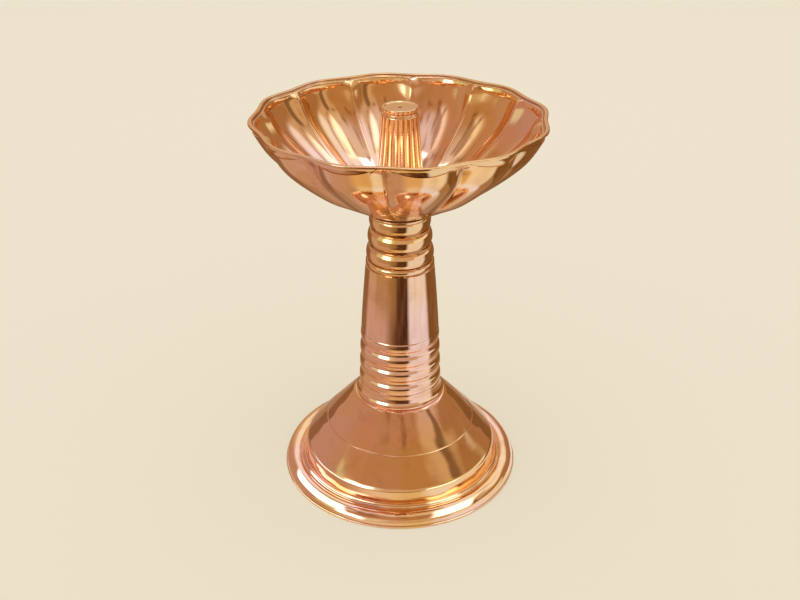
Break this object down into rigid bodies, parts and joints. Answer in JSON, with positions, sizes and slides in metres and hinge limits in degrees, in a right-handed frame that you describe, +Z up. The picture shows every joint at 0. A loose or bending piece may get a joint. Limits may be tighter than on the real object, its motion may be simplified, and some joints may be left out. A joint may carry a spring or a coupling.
{
  "type": "samai lamp",
  "caption": "Small standing oil lamp in polished brass: bell foot, ringed stem, petalled oil bowl and a screw-down wick post.",
  "frame": {"origin": "centre of the flat ring that the foot stands on", "axes": "+Z up along the stem, -Y towards the front of the picture, +X to the right"},
  "size_m": [0.0896, 0.0896, 0.128],
  "materials": {
    "polished_brass": "mirror polished, copper toned",
    "plated_steel": "bright zinc plate",
    "gasket_rubber": "matt"
  },
  "bodies": {
    "foot": {"base_bell": "polished_brass", "stem": "polished_brass", "tie_rod": "plated_steel", "foot_washer": "plated_steel", "foot_nut": "plated_steel"},
    "bowl": {"oil_bowl": "polished_brass", "bowl_gasket": "gasket_rubber"},
    "post_ring": {"post_washer": "polished_brass"},
    "post": {"wick_post": "polished_brass"}
  },
  "joints": [
    {"name": "bowl_lift", "type": "slide", "parent": "foot", "child": "bowl", "axis": [0, 0, 1], "range_m": [0, 0.03]},
    {"name": "post_rise", "type": "slide", "parent": "bowl", "child": "post_ring", "axis": [0, 0, 1], "range_m": [0, 0.008]},
    {"name": "post_turn", "type": "hinge", "parent": "post_ring", "child": "post", "pos_m": [0, 0, 0.1], "axis": [0, 0, 1], "range_deg": [0, 2880]}
  ],
  "couplings": [
    {"joint": "post_turn", "follows": "post_rise", "rad_per_m": 6283.2}
  ]
}
